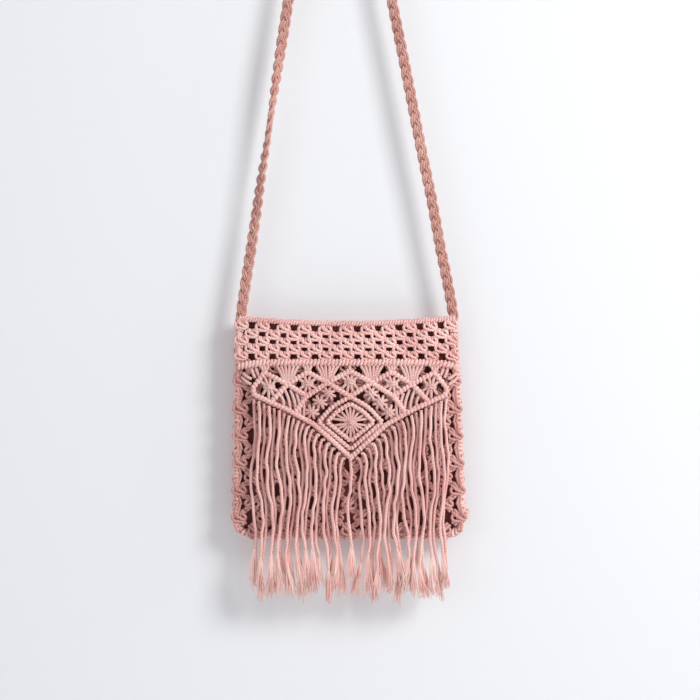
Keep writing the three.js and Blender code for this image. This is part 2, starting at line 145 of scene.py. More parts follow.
class CordWork:
    def __init__(self):
        self.points, self.quads, self.quadUv, self.tris, self.triUv = [], [], [], [], []
        self.count = 0

    def append(self, points, quads, quadUv, tris, triUv):
        self.points.append(points)
        self.quads.append(quads + self.count)
        self.quadUv.append(quadUv)
        self.tris.append(tris + self.count)
        self.triUv.append(triUv)
        self.count += len(points)

    def cord(self, line, radius, sides=6, closed=False, plies=0, plyDepth=0.0, lay=9.0, start=0.0):
        line = np.array(line, float)
        count = len(line)
        radius = np.broadcast_to(np.asarray(radius, float), (count,))
        if closed:
            tangents = unit(np.roll(line, -1, 0) - np.roll(line, 1, 0))
        else:
            tangents = unit(np.gradient(line, axis=0))
        across, up = carryFrames(tangents)
        if closed:
            # Spreads the twist that is left over round the loop
            gap = math.atan2(np.dot(across[0], up[-1]), np.dot(across[0], across[-1]))
            turn = -gap * np.arange(count) / count
        else:
            turn = np.zeros(count)
        steps = np.linalg.norm(np.diff(line, axis=0), axis=1)
        along = start + distances(line)
        angle = 2 * math.pi * np.arange(sides) / sides
        around = angle[None, :] - turn[:, None] + (2 * math.pi * along / lay)[:, None] * (plies > 0)
        lobes = 1 - plyDepth + plyDepth * np.abs(np.cos(plies / 2 * angle))
        reach = radius[:, None] * lobes[None, :]
        points = (line[:, None, :] + (reach * np.cos(around))[..., None] * across[:, None, :]
                  + (reach * np.sin(around))[..., None] * up[:, None, :]).reshape(-1, 3)
        rings = np.arange(count if closed else count - 1)
        side = np.arange(sides)
        ring, side = [grid.ravel() for grid in np.meshgrid(rings, side, indexing="ij")]
        after, beside = (ring + 1) % count, (side + 1) % sides
        quads = np.stack([ring * sides + side, ring * sides + beside,
                          after * sides + beside, after * sides + side], 1)
        far = along[ring] + np.where(ring + 1 < count, steps[np.minimum(ring, count - 2)], steps.mean())
        u0, u1 = side / sides, (side + 1) / sides
        near = along[ring]
        # The pattern is read round the cord itself, also where the faces follow its twist
        nearTurn, farTurn = near / lay * (plies > 0), far / lay * (plies > 0)
        quadUv = np.stack([np.stack([u0 + nearTurn, near], 1), np.stack([u1 + nearTurn, near], 1),
                           np.stack([u1 + farTurn, far], 1), np.stack([u0 + farTurn, far], 1)], 1)
        tris, triUv = np.zeros((0, 3), int), np.zeros((0, 3, 2))
        if not closed:
            # A centre point closes each end
            points = np.vstack([points, line[:1], line[-1:]])
            k = np.arange(sides)
            n = (k + 1) % sides
            base = (count - 1) * sides
            startTris = np.stack([n, k, np.full(sides, count * sides)], 1)
            endTris = np.stack([base + k, base + n, np.full(sides, count * sides + 1)], 1)
            tris = np.vstack([startTris, endTris])
            triUv = np.zeros((2 * sides, 3, 2))
            triUv[:sides, :, 1], triUv[sides:, :, 1] = along[0], along[-1]
            triUv[:, 0, 0] = triUv[:, 2, 0] = np.tile(k, 2) / sides
            triUv[:, 1, 0] = np.tile(k, 2) / sides + 0.05
        self.append(points, quads, quadUv, tris, triUv)

    def packed(self):
        parts = (self.points, self.quads, self.quadUv, self.tris, self.triUv)
        return [np.concatenate(part) for part in parts]

    # A copy of other, placed by three columns and a move
    def copy(self, other, columns, move, shift=0.0):
        points, quads, quadUv, tris, triUv = other
        placed = points @ np.array(columns, float) + np.array(move, float)
        offset = np.array([0.0, shift])
        self.append(placed, quads, quadUv + offset, tris, triUv + offset)

    def mesh(self, name, side):
        points, quads, quadUv, tris, triUv = flipped(self.packed()) if side > 0 else self.packed()
        data = bpy.data.meshes.new(name)
        data.vertices.add(len(points))
        data.vertices.foreach_set("co", (bentOnto(points, side) * mm).ravel())
        corners = np.concatenate([quads.ravel(), tris.ravel()])
        data.loops.add(len(corners))
        data.loops.foreach_set("vertex_index", corners.astype(np.int32))
        sizes = np.concatenate([np.full(len(quads), 4), np.full(len(tris), 3)])
        data.polygons.add(len(sizes))
        data.polygons.foreach_set("loop_start", (np.cumsum(sizes) - sizes).astype(np.int32))
        data.polygons.foreach_set("use_smooth", np.ones(len(sizes), bool))
        layer = data.uv_layers.new(name="cord")
        layer.data.foreach_set("uv", np.concatenate([quadUv.ravel(), triUv.ravel()]).astype(np.float32))
        data.update()
        data.validate()
        return data


def flipped(packed):
    # The same faces turned over, for a mirrored copy
    points, quads, quadUv, tris, triUv = packed
    return [points, quads[:, ::-1], quadUv[:, ::-1], tris[:, ::-1], triUv[:, ::-1]]


def bentOnto(points, side):
    # Flat work goes onto the pouch's front (-1) or back (1). With side 0 it already stands in place.
    if not side:
        return points
    x, z, out = points.T
    return np.stack([axisAt(z) + x, side * (faceDepthAt(x, z) + out), z], 1)


def newObject(name, data):
    thing = bpy.data.objects.new(name, data)
    bpy.context.scene.collection.objects.link(thing)
    return thing


def addPiece(name, data, material, replaced=()):
    piece = newObject(name, data)
    data.materials.append(material)
    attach(piece, "root")
    if replaced:
        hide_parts(*replaced)
    return piece


def addCords(name, work, side, material, replaced=()):
    return addPiece(name, work.mesh(name, side), material, replaced)


def either(most):
    # Up to most, to either side
    return random.uniform(-most, most)


def anyStart():
    # Where a cord's pattern starts, in millimetres
    return random.uniform(0, 9)


# Materials

class Socket:
    # Wraps a node's output, so that shader maths reads as plain sums
    def __init__(self, tree, output):
        self.tree, self.output = tree, output

    def maths(self, operation, *values):
        return self.tree.add("ShaderNodeMath", {"operation": operation}, dict(enumerate(values)))

    def __add__(self, other):
        return self.maths("ADD", self, other)

    def __radd__(self, other):
        return self.maths("ADD", other, self)

    def __sub__(self, other):
        return self.maths("SUBTRACT", self, other)

    def __rsub__(self, other):
        return self.maths("SUBTRACT", other, self)

    def __mul__(self, other):
        return self.maths("MULTIPLY", self, other)

    def __rmul__(self, other):
        return self.maths("MULTIPLY", other, self)


class Nodes:
    def __init__(self, tree):
        self.nodes, self.links = tree.nodes, tree.links

    def add(self, kind, settings=None, inputs=None, output=0):
        node = self.nodes.new(kind)
        for name, value in (settings or {}).items():
            if name == "stops":
                ramp = node.color_ramp.elements
                while len(ramp) < len(value):
                    ramp.new(0.5)
                for element, (place, color) in zip(ramp, value):
                    element.position, element.color = place, color
            else:
                setattr(node, name, value)
        for name, value in (inputs or {}).items():
            self.connect(value, node.inputs[name])
        return Socket(self, node.outputs[output])

    def connect(self, value, target):
        if isinstance(value, Socket):
            self.links.new(value.output, target)
        else:
            target.default_value = value

    def split(self, vector):
        first = self.add("ShaderNodeSeparateXYZ", inputs={"Vector": vector})
        return [Socket(self, output) for output in first.output.node.outputs]


class Finish(Nodes):
    def __init__(self, name, roughness):
        self.material = bpy.data.materials.new(name)
        self.material.use_nodes = True
        super().__init__(self.material.node_tree)
        self.shader = self.nodes["Principled BSDF"]
        self.feed("Roughness", roughness)

    def feed(self, name, value):
        self.connect(value, self.shader.inputs[name])


def linear(red, green, blue):
    # A colour as a picture editor shows it, 0 to 255, as the shader wants it
    def one(value):
        value /= 255
        return value / 12.92 if value <= 0.04045 else ((value + 0.055) / 1.055) ** 2.4
    return (one(red), one(green), one(blue), 1.0)


cotton = {
    "pale": (255, 218, 210),
    "middle": (245, 192, 185),
    "deep": (206, 140, 133),
    "roughness": 0.85,
    "sheen": 0.2,
    "plies": 3,
    "yarns": 22,
    "patchScale": 38.0,
    "patchShade": 0.8,
    "plyGroovePaintedShade": 0.3,
    "yarnShade": 0.06,
    "fuzzScale": 2600.0,
    "fuzzShade": 0.5,
    "bump": 0.6,
    "bumpDepth": 0.0004,
}


def cottonFinish(name, plyBumpAndShade, layLength=9.5, tone=1.0, tint=(1.0, 1.0, 1.0)):
    finish = Finish(name, cotton["roughness"])
    cordUv = finish.add("ShaderNodeUVMap", {"uv_map": "cord"})
    around, along = finish.split(cordUv)[:2]
    turn = around * cotton["plies"] - along * (cotton["plies"] / layLength)
    plies = finish.add("ShaderNodeMath", {"operation": "COSINE"}, {0: turn * (2 * math.pi)})
    yarnTurn = around * cotton["yarns"] + along * (cotton["yarns"] / layLength / 2.5)
    yarns = finish.add("ShaderNodeMath", {"operation": "SINE"}, {0: yarnTurn * (2 * math.pi)})
    here = finish.add("ShaderNodeTexCoord", output=3)
    patches = finish.add("ShaderNodeTexNoise", None, {
        "Vector": here, "Scale": cotton["patchScale"], "Detail": 3.0})
    fuzz = finish.add("ShaderNodeTexNoise", None, {
        "Vector": here, "Scale": cotton["fuzzScale"], "Detail": 4.0})
    # The plies' grooves are darkened in colour here as painted shade, as well as bumped in the height below
    shade = (patches * cotton["patchShade"] + plies * (cotton["plyGroovePaintedShade"] * plyBumpAndShade)
             + yarns * cotton["yarnShade"] + fuzz * cotton["fuzzShade"] - 0.15)
    shades = [linear(*[min(255, channel * tone * t) for channel, t in zip(cotton[key], tint)])
              for key in ("deep", "middle", "pale")]
    color = finish.add("ShaderNodeValToRGB", {"stops": list(zip((0.1, 0.45, 0.85), shades))},
                       {"Fac": shade})
    finish.feed("Base Color", color)
    height = plies * (0.6 * plyBumpAndShade) + yarns * 0.12 + fuzz * 0.5
    finish.feed("Normal", finish.add("ShaderNodeBump", None, {
        "Strength": cotton["bump"], "Distance": cotton["bumpDepth"], "Height": height}))
    finish.feed("Sheen Weight", cotton["sheen"])
    finish.feed("Sheen Roughness", 0.5)
    finish.feed("Specular IOR Level", 0.3)
    return finish.material


# The lining's colours are darker and redder than the cloth itself: partly the cloth's own deep rose, partly
# painted shade for the pouch's shaded inside
lining = {"deep": (90, 36, 38), "pale": (130, 64, 66), "threads": 900.0, "weaveShade": 0.12,
          "patchScale": 30.0}


def liningFinish():
    finish = Finish("liningClothPaintedShade", 0.9)
    here = finish.add("ShaderNodeTexCoord", output=3)
    across, _, height = finish.split(here)
    turns = 2 * math.pi * lining["threads"]
    waves = [finish.add("ShaderNodeMath", {"operation": "SINE"}, {0: way * turns})
             for way in (across, height)]
    weave = waves[0] * waves[1]
    patches = finish.add("ShaderNodeTexNoise", None, {
        "Vector": here, "Scale": lining["patchScale"], "Detail": 4.0})
    color = finish.add("ShaderNodeValToRGB", {"stops": [(0.3, linear(*lining["deep"])),
                                                        (0.7, linear(*lining["pale"]))]},
                       {"Fac": patches + weave * lining["weaveShade"]})
    finish.feed("Base Color", color)
    finish.feed("Normal", finish.add("ShaderNodeBump", None, {
        "Strength": 0.4, "Distance": 0.0002, "Height": weave}))
    finish.feed("Sheen Weight", 0.15)
    return finish.material


knotCotton = cottonFinish("knottedCotton", 0.8)
# The nets' cotton is toned darker and tinted redder than the knots' cotton: painted shade for the nets
# lying in shade, with reddish light bounced between their cords
netCottonPaintedShade = cottonFinish("netCottonPaintedShade", 0.8, tone=0.87, tint=(1.0, 0.92, 0.91))
gatheredCotton = cottonFinish("gatheredCotton", 0.8, tone=0.94)
ridgeCotton = cottonFinish("hitchedCotton", 0.8, tone=0.99)
# The fringe's cotton is toned paler than the knots' cotton as painted light, for the strands' brightly lit
# fronts
fringeCottonPaintedLight = cottonFinish("fringeCottonPaintedLight", 0.9, tone=1.05, tint=(1.0, 0.97, 0.97))
frayCotton = cottonFinish("frayedCotton", 0.1, tone=1.08, tint=(1.0, 0.99, 0.98))
strapCotton = cottonFinish("plaitedCotton", 0.9, layLength=8.0, tone=0.89, tint=(1.0, 0.94, 0.905))
liningClothPaintedShade = liningFinish()

# The camera looks along +Y at the photograph's middle, where one pixel is one millimetre.
# distance and frontY are in metres.
photo = {"middleX": 14.3, "middleZ": -556.0, "span": 700.0, "distance": 2.3, "frontY": -0.012,
         "sensor": 36.0}


def addCamera():
    data = bpy.data.cameras.new("camera")
    data.sensor_width = photo["sensor"]
    data.lens = photo["sensor"] * photo["distance"] / (photo["span"] * mm)
    camera = newObject("camera", data)
    camera.location = (photo["middleX"] * mm, photo["frontY"] - photo["distance"], photo["middleZ"] * mm)
    camera.rotation_euler = (math.pi / 2, 0, 0)
    bpy.context.scene.camera = camera


addCamera()
print("camera and materials made")

# The strap: a flat plait of three strands, two cords to a strand
strap = {
    "cordRadius": 1.62,
    "swing": 3.2,
    "depth": 1.8,
    "period": 36.0,
    "pairGap": 1.15,
    "step": 1.6,
    "width": 11.0,
    "endTaper": 9.0,
    "endShare": 0.6,
    "plyDepth": 0.18,
    "lay": 8.0,
}
strapRoute = [
    (-96.1, -526.5), (-95.1, -519.9), (-91.3, -494), (-85.7, -458), (-80.1, -420), (-74.7, -382),
    (-69, -347), (-64.2, -313), (-56.2, -259.6), (-47.8, -206), (-38.5, -141.4), (-29.1, -76.7),
    (-22.1, -28), (-19.8, -12.1), (-14.1, -0.9), (0, 5), (14.1, -0.9), (19.6, -11.3), (22.6, -27),
    (32, -76), (44.3, -141), (56.7, -206), (67.9, -261.8), (77.9, -313), (86.8, -357.8), (96.9, -407),
    (105.8, -456), (112.2, -487), (118.1, -519.9), (118.3, -526.5),
]
# How far the plait has turned about its own line, in degrees, at points of its length in millimetres
strapTurn = [(0, -8), (70, 10), (205, 88), (300, 175), (509, 268), (535, 272), (760, 345), (900, 368),
             (1100, 352)]


def makeStrap():
    line = evenly(throughPoints([(x, 0, z) for x, z in strapRoute], 0.5), strap["step"])
    along = distances(line)
    tangents = unit(np.gradient(line, axis=0))
    sideways = np.stack([tangents[:, 2], np.zeros(len(line)), -tangents[:, 0]], 1)
    outwards = np.array([[0.0, -1.0, 0.0]])
    turn = np.radians(np.interp(along, *zip(*strapTurn)))[:, None]
    lateral = np.cos(turn) * sideways + np.sin(turn) * outwards
    deep = np.cos(turn) * outwards - np.sin(turn) * sideways
    fromEnd = np.minimum(along, along[-1] - along)
    taper = mix(strap["endShare"], 1, np.clip(fromEnd / strap["endTaper"], 0, 1) ** 0.6)[:, None]
    work = CordWork()
    for strand in range(3):
        phase = (2 * math.pi * (along / strap["period"] + strand / 3))[:, None]
        swing = strap["swing"] * np.sin(phase)
        rise = strap["depth"] * np.sin(2 * phase)
        slope = strap["swing"] * 2 * math.pi / strap["period"] * np.cos(phase)
        for pair in (-1, 1):
            apart = pair * strap["pairGap"] / np.sqrt(1 + slope**2)
            route = (line + lateral * (swing + apart) * taper + deep * rise * taper
                     - tangents * apart * slope)
            work.cord(route, strap["cordRadius"], 12, plies=3, plyDepth=strap["plyDepth"], lay=strap["lay"],
                      start=40.0 * pair)
    piece = addCords("strap_plait", work, 0, strapCotton, ["strap"])
    return along[-1]


strapLength = makeStrap()
print("strap made,", round(strapLength), "mm long")

# One flat square knot with half of each pair of cords that leads to its neighbours
knot = {"radius": 1.5, "front": 2.2, "step": 1.8, "edgeOut": 0.3, "edgeRise": 5.5}


def squareKnot(halfAcross, halfDown, halfWidth, halfHeight, edge=0, topRow=False):
    # edge is the side, -1 or 1, where the cords run down the wall's edge and not to a neighbour
    r, w, h, f = knot["radius"], halfWidth, halfHeight, knot["front"]
    length = math.hypot(halfAcross, halfDown)
    sideX, sideY = halfDown / length * r * 1.05, halfAcross / length * r * 1.05
    midX, midY = halfAcross / 2, halfDown / 2

    def meeting(right, up, inner):
        # Where one of a pair meets the neighbour's cord
        turn = 1 if inner else -1
        if right == edge:
            run = knot["edgeRise"] if topRow and up > 0 else halfDown + 0.6
            return ((knot["edgeOut"] - r * turn) * right, run * up, -0.2)
        return ((midX - sideX * turn) * right, (midY + sideY * turn) * up, -0.2)

    work = CordWork()
    for side in (-1, 1):
        top, foot = meeting(side, 1, True), meeting(side, -1, True)
        x = side * r * 0.95
        work.cord(throughPoints([top, (x, h, 0), (x, 0, 0.3), (x, -h, 0), foot], knot["step"] * 1.6), r)
    # One working cord crosses the front as a slanted bar and goes back behind the middle pair
    top, foot = meeting(-1, 1, False), meeting(-1, -1, False)
    front = [top, (-w * 0.62, h * 0.78, 0.7), (-w * 0.4, h * 0.44, f), (w * 0.4, -h * 0.36, f),
             (w * 0.82, -h * 0.5, 0.7), (w * 0.5, -h * 0.75, -1.3), (-w * 0.4, -h * 0.8, -1.3),
             (-w * 0.7, -h * 0.9, 0.0), foot]
    work.cord(throughPoints(front, knot["step"]), r * 1.08, start=3.0)
    # The other hooks round on the right, passes behind, stands up as an ear and comes over the foot
    top, foot = meeting(1, 1, False), meeting(1, -1, False)
    back = [top, (w * 0.45, h * 0.95, 1.4), (w * 0.85, h * 0.42, 2.0), (w * 0.98, -h * 0.15, 1.1),
            (w * 0.6, -h * 0.1, -1.2), (-w * 0.5, h * 0.4, -1.6), (-w * 0.98, h * 0.5, 1.1),
            (-w * 1.06, 0, 2.0), (-w * 0.98, -h * 0.5, 1.2), (-w * 0.35, -h * 0.86, 1.5),
            (w * 0.35, -h * 0.98, 1.3), foot]
    work.cord(throughPoints(back, knot["step"]), r, start=6.0)
    return work.packed()


def jittered(turnBy, sizeBy):
    # Columns that turn and scale a copy a little, in the flat
    turn = math.radians(either(turnBy))
    size = 1 + either(sizeBy)
    c, s = math.cos(turn) * size, math.sin(turn) * size
    return [[c, s, 0], [-s, c, 0], [0, 0, size]]


# The knotted walls. Rows and columns count half periods, as in the solids.
walls = {
    "top_band": {
        "columns": 20, "rows": 4, "odd": 0, "drop": 6.6, "bottomZ": ridgeZ + 8.0, "inset": 6.6, "side": -1,
        "width": 6.1, "height": 3.8, "loose": 0.3, "mirrored": 0.0, "replaces": "front_top_band"},
    "front_net": {
        "columns": 18, "rows": 12, "odd": 1, "drop": 4.0, "bottomZ": pouch["baseZ"] + 6.5, "inset": 6.8,
        "side": -1, "width": 6.9, "height": 4.3, "loose": 0.8, "mirrored": 0.4, "replaces": "front_net"},
    "back_net": {
        "columns": 18, "rows": 16, "odd": 0, "drop": 7.0, "bottomZ": pouch["baseZ"] + 6.5, "inset": 6.8,
        "side": 1, "width": 6.9, "height": 4.3, "loose": 0.6, "mirrored": 0.4, "replaces": "back_net"},
}


def rimTopAt(u):
    return pouch["rimZ"] - pouch["rimDip"] * (1 - u**2)


def makeWall(name, hungFrom, finish):
    # hungFrom gives the height of the rim or ridge above it
    wall = walls[name]
    columns, rows, loose, inset = wall["columns"], wall["rows"], wall["loose"], wall["inset"]
    bottomZ = wall["bottomZ"]

    def topZ(u):
        return hungFrom(u) - wall["drop"]

    halfAcross = 2 * (halfWidthAt(mix(topZ(0), bottomZ, 0.5)) - inset) / columns
    halfDown = (topZ(0) - bottomZ) / rows
    knots = {(edge, top): squareKnot(halfAcross, halfDown, wall["width"], wall["height"], edge, top)
             for edge in (-1, 0, 1) for top in (True, False)}
    work = CordWork()
    for row in range(rows + 1):
        for column in range(columns + 1):
            edge = (column == columns) - (column == 0)
            # The back has no knots at its lowest corners, where the seam turns
            if (row + column) % 2 != wall["odd"] or edge and row == rows and wall["side"] > 0:
                continue
            u = 2 * column / columns - 1
            astray = loose * (edge == 0)
            z = mix(topZ(u), bottomZ, row / rows) + either(1) * astray
            x = u * (halfWidthAt(z) - inset) + either(1) * astray
            turned = jittered(5 * astray, 0.04)
            copied, turnedOver = knots[edge, row == 0], random.random() < wall["mirrored"]
            if turnedOver and not edge:
                turned = [[-a for a in turned[0]], turned[1], turned[2]]
                copied = flipped(copied)
            work.copy(copied, turned, (x, z, pouch["netMiddle"]), anyStart())
    addCords(name + "_knots", work, wall["side"], finish, [wall["replaces"]])


makeWall("top_band", rimTopAt, knotCotton)
makeWall("front_net", lambda u: ridgeZ, netCottonPaintedShade)
makeWall("back_net", rimTopAt, netCottonPaintedShade)
print("knotted walls made")

# Rims and ridges: loops hitched close together round a hidden cord
hitch = {"radius": 1.75, "pitch": 3.75, "slant": 0.35, "halfHeight": 1.4, "halfDepth": 1.2, "vary": 0.06,
         "depthVary": 0.15}
rim = {"halfHeight": 1.75, "halfDepth": 1.35, "radius": 1.4, "pitch": 2.75, "core": 1.5, "inset": 3.0,
       "middle": 3.1}
crossRidge = {"halfHeight": 2.3, "halfDepth": 1.9, "radius": 1.8, "pitch": 3.6, "core": 2.0, "inset": 3.0,
              "middle": 7.4, "rise": 1.4, "endDrop": 4.0, "backing": 2.6, "backingMiddle": 3.4}


def hitchLoop(halfHeight, halfDepth, radius, steps=9):
    work = CordWork()
    angles = 2 * math.pi * np.arange(steps) / steps
    ring = np.stack([hitch["slant"] * halfHeight * np.sin(angles), halfHeight * np.sin(angles),
                     halfDepth * np.cos(angles)], 1)
    work.cord(ring, radius, 6, closed=True)
    return work.packed()


def hitchAlong(work, line, loop, middle, pitch=None):
    # Lays loops along a flat line of (x, z) points
    pitch = pitch or hitch["pitch"]
    line = np.array(line, float)
    along = distances(line)
    count = max(2, int(round(along[-1] / pitch)))
    for k in range(count):
        place = (k + 0.5 + either(hitch["vary"])) * along[-1] / count
        x, z = pointAt(line, along, place)
        way = unit(pointAt(line, along, place + 1) - pointAt(line, along, place - 1))
        size = 1 + either(hitch["vary"])
        columns = [[way[0], way[1], 0], [-way[1] * size, way[0] * size, 0], [0, 0, size]]
        work.copy(loop, columns, (x, z, middle + either(hitch["depthVary"])), anyStart())


def hitchedRow(form, line):
    work = CordWork()
    loop = hitchLoop(form["halfHeight"], form["halfDepth"], form["radius"])
    hitchAlong(work, line, loop, form["middle"], form["pitch"])
    work.cord([(x, z, form["middle"]) for x, z in line], form["core"])
    return work


def makeRims():
    line = []
    for k in range(41):
        u = k / 20 - 1
        z = rimTopAt(u)
        line.append((u * (halfWidthAt(z) - rim["inset"]), z))
    for side, name, node in ((-1, "front_rim_loops", "front_rim"), (1, "back_rim_loops", "back_rim")):
        addCords(name, hitchedRow(rim, line), side, ridgeCotton, [node])


def makeCrossRidge():
    half = halfWidthAt(ridgeZ) - crossRidge["inset"]
    line = []
    for k in range(45):
        u = k / 22 - 1
        line.append((u * half, ridgeZ + crossRidge["rise"] - crossRidge["endDrop"] * u**8))
    work = hitchedRow(crossRidge, line)
    # A thicker cord fills the room between the ridge and the lining
    work.cord([(x, z, crossRidge["backingMiddle"]) for x, z in line], crossRidge["backing"])
    addCords("cross_ridge_hitches", work, -1, ridgeCotton, ["cross_ridge"])


makeRims()
makeCrossRidge()
print("rims and cross ridge made")

# The V ornament: places are (across from its middle, down from the cross ridge)
places = {
    "corner": (97.5, 25), "outerTop": (85, 8.5), "outerValley": (62, 20), "outerFoot": (78, 37),
    "innerTop": (42, 8), "innerValley": (22, 18.5), "innerFoot": (43, 32), "middleTop": (0, 7),
    "diamondTop": (0, 32.4), "longFoot": (55, 48), "diamondSide": (31.8, 58), "diamondFoot": (0, 85),
    "innerDiamondTop": (0, 39.6), "innerDiamondSide": (23.2, 58), "innerDiamondFoot": (0, 76.8),
}
border = [(97.5, 25), (95, 31), (79, 38.3), (61.6, 46), (35.9, 60.5), (14.9, 79.4), (0, 93.5)]
bandFlowers = [(21.4, 29.3), (30, 38), (38.6, 47.8)]
# Cords left unknotted between the small diamonds and the border, each a start and an end
floats = [((69.5, 30.5), (66, 43)), ((65.5, 24), (59.5, 46)), ((59.5, 25.5), (54, 48)),
          ((53.5, 29), (50, 50)), ((48, 32), (46.5, 53))]
# Short cords from the cross ridge to the tops and valleys below it: where, how many and how far apart
hangers = [("outerValley", 6, 3.6), ("innerValley", 6, 3.6), ("outerTop", 3, 3.4), ("innerTop", 3, 3.4),
           ("middleTop", 1, 3.0)]
# Two cords that run in from the side seam, and two short ones above them
sideCords = [((107, 9), (98, 15)), ((108.5, 13), (98.5, 20.5)), ((94, 3), (90.5, 12)),
             ((98.5, 4), (94.5, 14))]
ornament = {
    "middle": pouch["ornamentMiddle"],
    "cordRadius": 1.5,
    "heartRadius": 1.3,
    "hangerRadius": 1.55,
    "sideRadius": 1.6,
    "wideCore": 2.5,
    "narrowCore": 2.0,
    "baseDrop": 1.4,
    "spokeRise": 1.6,
    "flowerReach": 7.4,
    "tipDrop": 95.3,
    "middleKnotDrop": 17.5,
}
smallKnot = {"cords": 4, "spread": 0.5, "pinch": 1.9, "ears": 4.9}
sunburst = {"cords": 9, "spread": 0.8, "pinch": 0.75, "ears": 5.5, "radius": 1.3}


def inFlat(place, mirror=1):
    return np.array([pouch["ornamentOffset"] + place[0] * mirror, ridgeZ - place[1]])


def atShare(points, share):
    # The point at a share of a bent line's length
    points = np.array(points, float)
    steps = distances(points)
    return pointAt(points, steps, share * steps[-1])


def knotHeart(work, middle, aside, upright, high):
    # Two short turns of cord wound over the gathered ones
    for up in (1, -1):
        start = middle - aside * 3.0 + upright * (up * 1.2 + 0.7)
        end = middle + aside * 3.0 + upright * (up * 1.2 - 0.7)
        route = [(*start, high - 1.2), (*mix(start, end, 0.3), high + 0.7),
                 (*mix(start, end, 0.7), high + 0.7), (*end, high - 1.2)]
        work.cord(throughPoints(route, 1.4), ornament["heartRadius"], start=anyStart())


def gatheredKnot(work, cell, cords, spread, pinch, ears, middle=None, radius=None):
    # Cords from a cell's two upper sides gather in its middle and spread to its two lower sides
    left, top, right, bottom = cell
    radius = radius or ornament["cordRadius"]
    if middle is None:
        middle = (left + top + right + bottom) / 4
    aside, upright = unit(right - left), unit(top - bottom)
    base, rise = ornament["middle"] - ornament["baseDrop"], ornament["spokeRise"]
    for k in range(cords):
        share = 0.5 + spread * (k / (cords - 1) - 0.5)
        start, end = atShare([left, top, right], share), atShare([left, bottom, right], share)
        offset = aside * (k - (cords - 1) / 2) * pinch
        high, low = middle + offset + upright * 1.3, middle + offset - upright * 1.3
        bulge = random.uniform(-0.2, 0.4)
        halfUp, halfDown = mix(start, high, 0.45), mix(end, low, 0.45)
        route = [(*start, base - 0.8), (*halfUp, base + rise * 0.9), (*high, base + rise + bulge),
                 (*low, base + rise + bulge), (*halfDown, base + rise * 0.9), (*end, base - 0.8)]
        work.cord(throughPoints(route, 1.9), radius, start=anyStart())
    for side in (-1, 1):
        # The knot's ears stand out on both sides
        root = middle + aside * side * pinch * cords * 0.3
        tip = middle + aside * side * ears
        route = [(*(root + upright * 0.9), base + rise + 0.9), (*(tip + upright * 0.7), base + rise * 0.6),
                 (*(tip - upright * 0.7), base + rise * 0.6), (*(root - upright * 0.9), base + rise + 0.9)]
        work.cord(throughPoints(route, 1.4), radius, start=anyStart())
    knotHeart(work, middle, aside, upright, base + rise + 1.5)


def bandFlower(work, heart, down):
    # Four cords crossed over one another between the band's two ridges make eight petals
    out = np.array([-down[1], down[0]])
    base, rise = ornament["middle"] - ornament["baseDrop"], ornament["spokeRise"]
    for k in range(4):
        turn = math.radians(22.5 + 45 * k + either(5))
        way = down * math.cos(turn) + out * math.sin(turn)
        aside = np.array([-way[1], way[0]]) * either(0.5)
        high, reach = base + rise + 0.3 * k, ornament["flowerReach"]
        route = [(*(heart - way * reach), base - 0.6), (*(heart - way * reach / 2 + aside), high - 0.2),
                 (*heart, high), (*(heart + way * reach / 2 - aside), high - 0.2),
                 (*(heart + way * reach), base - 0.6)]
        work.cord(throughPoints(route, 1.8), ornament["cordRadius"], start=anyStart())
    knotHeart(work, heart, down, out, base + rise + 2.0)


